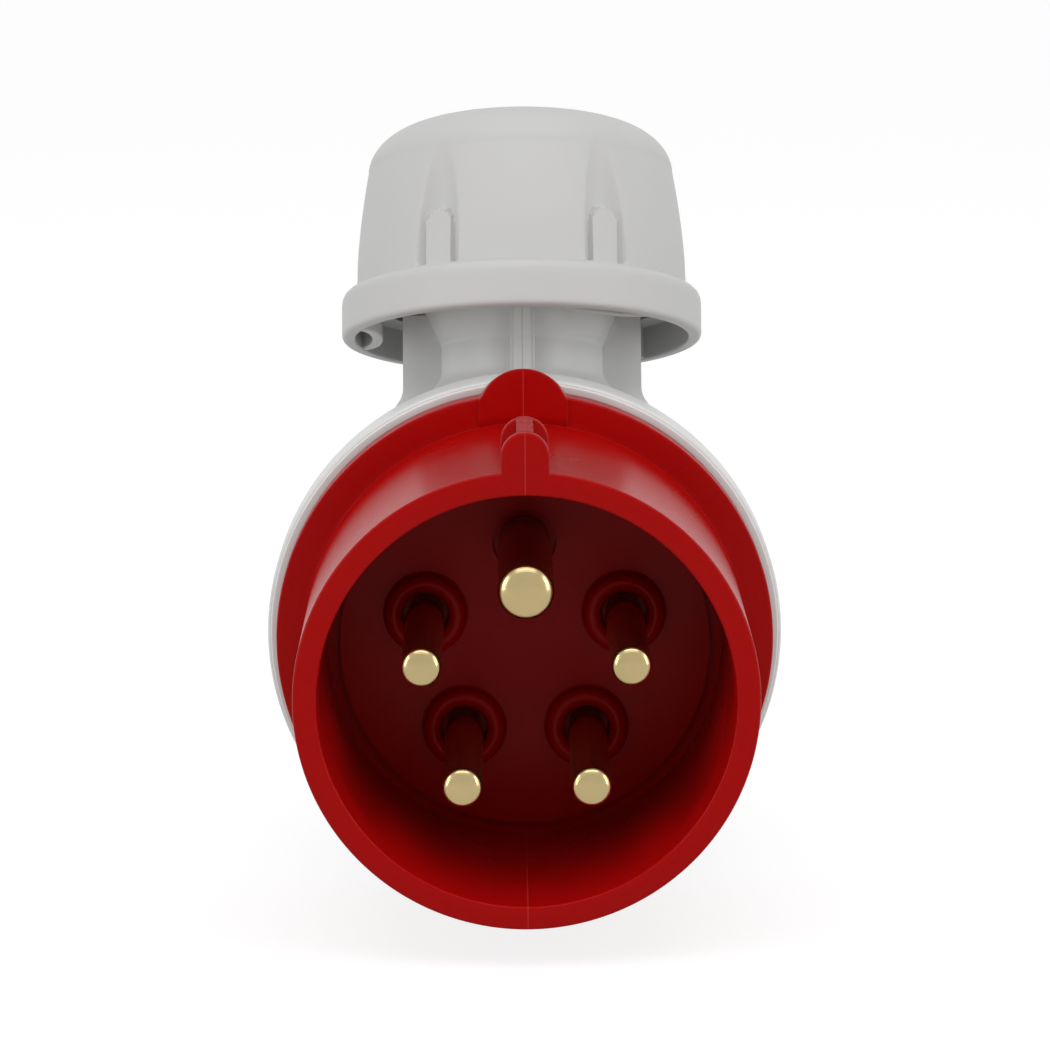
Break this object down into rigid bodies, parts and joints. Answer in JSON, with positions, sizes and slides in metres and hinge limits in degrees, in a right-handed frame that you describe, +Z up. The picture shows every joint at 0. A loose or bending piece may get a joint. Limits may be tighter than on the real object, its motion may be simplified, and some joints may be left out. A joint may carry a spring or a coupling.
{
  "type": "industrial pin and sleeve plug",
  "caption": "Angled industrial pin and sleeve plug: a red keyed sleeve around round brass pins, and a grey housing whose outlet rises to a fluted gland cap.",
  "frame": {"origin": "centre of the sleeve's mouth, in the plane of its rim", "axes": "-Y is the way the pins point, +X is to the right as seen from the pins' side, +Z is up and the angled outlet rises along it"},
  "size_m": [0.0684, 0.096, 0.1025],
  "materials": {
    "sleeve": "glossy moulded plastic, signal red",
    "housing": "fine satin moulded plastic, light grey",
    "cap": "fine satin moulded plastic, light grey",
    "brass": "bright turned brass",
    "steel": "zinc-plated steel",
    "carrier": "dark moulded plastic",
    "seal": "soft black rubber",
    "cage": "dark moulded plastic",
    "washer": "smooth natural plastic"
  },
  "bodies": {
    "plug": {"sleeve": "sleeve", "flange_seal": "seal", "earth_pin": "brass", "neutral_pin": "brass", "line_pin_1": "brass", "line_pin_2": "brass", "line_pin_3": "brass", "earth_terminal_screw": "steel", "neutral_terminal_screw": "steel", "line_terminal_screw_1": "steel", "line_terminal_screw_2": "steel", "line_terminal_screw_3": "steel", "terminal_carrier": "carrier", "carrier_screws": "steel", "housing_left": "housing", "housing_right": "housing", "housing_screw_upper": "steel", "housing_screw_lower": "steel", "cable_seal": "seal", "clamping_cage": "cage"},
    "thrust": {"thrust_washer": "washer"},
    "cap": {"gland_cap": "cap"}
  },
  "joints": [
    {"name": "cap_travel", "type": "slide", "parent": "plug", "child": "thrust", "axis": [0, 0.3256, 0.9455], "range_m": [0, 0.006]},
    {"name": "cap_turn", "type": "hinge", "parent": "thrust", "child": "cap", "pos_m": [0, 0.056, 0], "axis": [0, 0.3256, 0.9455], "range_deg": [0, 540]}
  ],
  "couplings": [
    {"joint": "cap_turn", "follows": "cap_travel", "rad_per_m": 1570.8}
  ]
}
